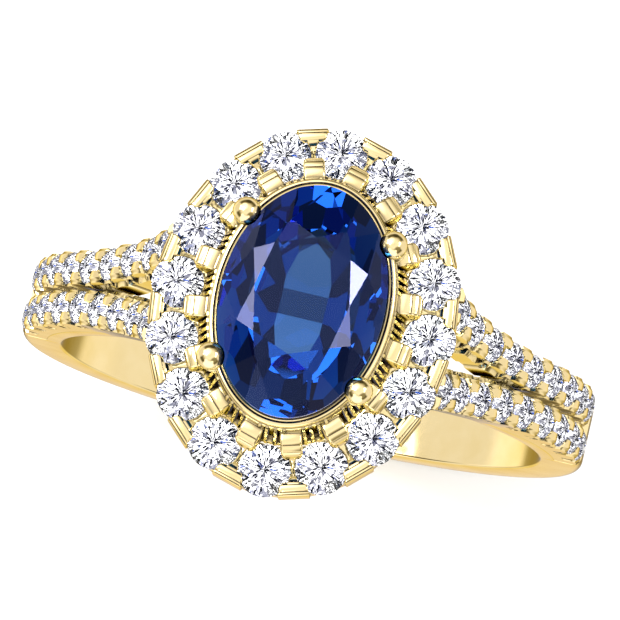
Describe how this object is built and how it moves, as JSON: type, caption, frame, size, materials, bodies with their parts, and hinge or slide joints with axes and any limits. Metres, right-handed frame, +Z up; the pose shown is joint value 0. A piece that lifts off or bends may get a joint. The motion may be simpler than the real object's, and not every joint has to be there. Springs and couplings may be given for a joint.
{
  "type": "engagement ring",
  "caption": "Yellow gold finger ring with an oval blue centre stone in claws, a halo of round clear stones and a split shank set with rows of small clear stones.",
  "frame": {"origin": "centre of the finger hole", "axes": "+Y along the finger, +Z up through the middle of the oval stone, +X across the finger"},
  "size_m": [0.0204, 0.0118, 0.0253],
  "materials": {
    "gold": "polished yellow gold",
    "diamond": "faceted and polished, colourless",
    "sapphire": "faceted and polished, deep blue"
  },
  "bodies": {
    "root": {"shank": "gold", "shoulder_right": "gold", "shoulder_left": "gold", "halo_frame": "gold", "collar": "gold", "claws": "gold", "base_rail": "gold", "sapphire": "sapphire", "halo_diamond_1": "diamond", "halo_diamond_2": "diamond", "halo_diamond_3": "diamond", "halo_diamond_4": "diamond", "halo_diamond_5": "diamond", "halo_diamond_6": "diamond", "halo_diamond_7": "diamond", "halo_diamond_8": "diamond", "halo_diamond_9": "diamond", "halo_diamond_10": "diamond", "halo_diamond_11": "diamond", "halo_diamond_12": "diamond", "halo_diamond_13": "diamond", "halo_diamond_14": "diamond", "halo_diamond_15": "diamond", "halo_diamond_16": "diamond", "right_front_diamond_1": "diamond", "right_front_diamond_2": "diamond", "right_front_diamond_3": "diamond", "right_front_diamond_4": "diamond", "right_front_diamond_5": "diamond", "right_front_diamond_6": "diamond", "right_front_diamond_7": "diamond", "right_front_diamond_8": "diamond", "right_front_diamond_9": "diamond", "right_back_diamond_1": "diamond", "right_back_diamond_2": "diamond", "right_back_diamond_3": "diamond", "right_back_diamond_4": "diamond", "right_back_diamond_5": "diamond", "right_back_diamond_6": "diamond", "right_back_diamond_7": "diamond", "right_back_diamond_8": "diamond", "right_back_diamond_9": "diamond", "left_front_diamond_1": "diamond", "left_front_diamond_2": "diamond", "left_front_diamond_3": "diamond", "left_front_diamond_4": "diamond", "left_front_diamond_5": "diamond", "left_front_diamond_6": "diamond", "left_front_diamond_7": "diamond", "left_front_diamond_8": "diamond", "left_front_diamond_9": "diamond", "left_back_diamond_1": "diamond", "left_back_diamond_2": "diamond", "left_back_diamond_3": "diamond", "left_back_diamond_4": "diamond", "left_back_diamond_5": "diamond", "left_back_diamond_6": "diamond", "left_back_diamond_7": "diamond", "left_back_diamond_8": "diamond", "left_back_diamond_9": "diamond"}
  },
  "joints": []
}
